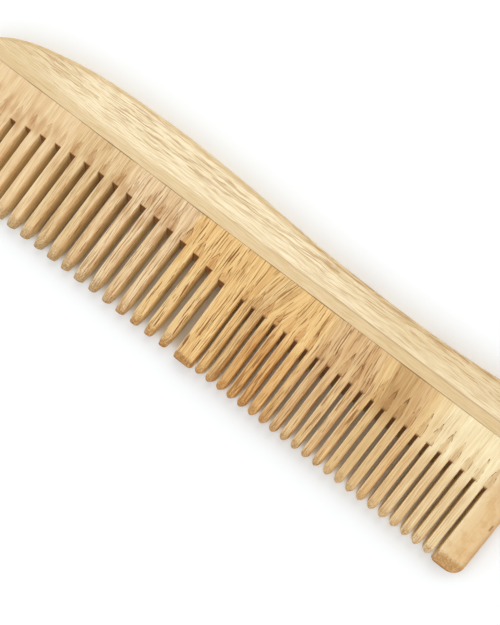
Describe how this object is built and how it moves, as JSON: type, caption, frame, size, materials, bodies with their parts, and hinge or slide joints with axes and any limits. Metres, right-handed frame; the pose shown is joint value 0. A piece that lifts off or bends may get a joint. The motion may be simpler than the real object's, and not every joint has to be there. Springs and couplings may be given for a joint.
{
  "type": "wooden comb",
  "caption": "Flat wooden hair comb with an S-shaped back, wide-set teeth on one half and close-set teeth on the other, and a wide tooth at the middle and at each end.",
  "frame": {"origin": "middle of the comb's length and width, on the plane of its back face", "axes": "+X along the comb from the coarse half to the fine half, +Y from the tips to the spine, +Z out of the front face"},
  "size_m": [0.19, 0.0496, 0.006],
  "materials": {
    "spine_wood": "satin",
    "board_wood": "satin"
  },
  "bodies": {
    "root": {"spine": "spine_wood", "tooth_board": "board_wood", "left_guard": "board_wood", "divider_tooth": "board_wood", "right_guard": "board_wood", "coarse_tooth_01": "board_wood", "coarse_tooth_02": "board_wood", "coarse_tooth_03": "board_wood", "coarse_tooth_04": "board_wood", "coarse_tooth_05": "board_wood", "coarse_tooth_06": "board_wood", "coarse_tooth_07": "board_wood", "coarse_tooth_08": "board_wood", "coarse_tooth_09": "board_wood", "coarse_tooth_10": "board_wood", "coarse_tooth_11": "board_wood", "coarse_tooth_12": "board_wood", "coarse_tooth_13": "board_wood", "coarse_tooth_14": "board_wood", "coarse_tooth_15": "board_wood", "coarse_tooth_16": "board_wood", "coarse_tooth_17": "board_wood", "fine_tooth_01": "board_wood", "fine_tooth_02": "board_wood", "fine_tooth_03": "board_wood", "fine_tooth_04": "board_wood", "fine_tooth_05": "board_wood", "fine_tooth_06": "board_wood", "fine_tooth_07": "board_wood", "fine_tooth_08": "board_wood", "fine_tooth_09": "board_wood", "fine_tooth_10": "board_wood", "fine_tooth_11": "board_wood", "fine_tooth_12": "board_wood", "fine_tooth_13": "board_wood", "fine_tooth_14": "board_wood", "fine_tooth_15": "board_wood", "fine_tooth_16": "board_wood", "fine_tooth_17": "board_wood", "fine_tooth_18": "board_wood", "fine_tooth_19": "board_wood", "fine_tooth_20": "board_wood", "fine_tooth_21": "board_wood", "fine_tooth_22": "board_wood"}
  },
  "joints": []
}
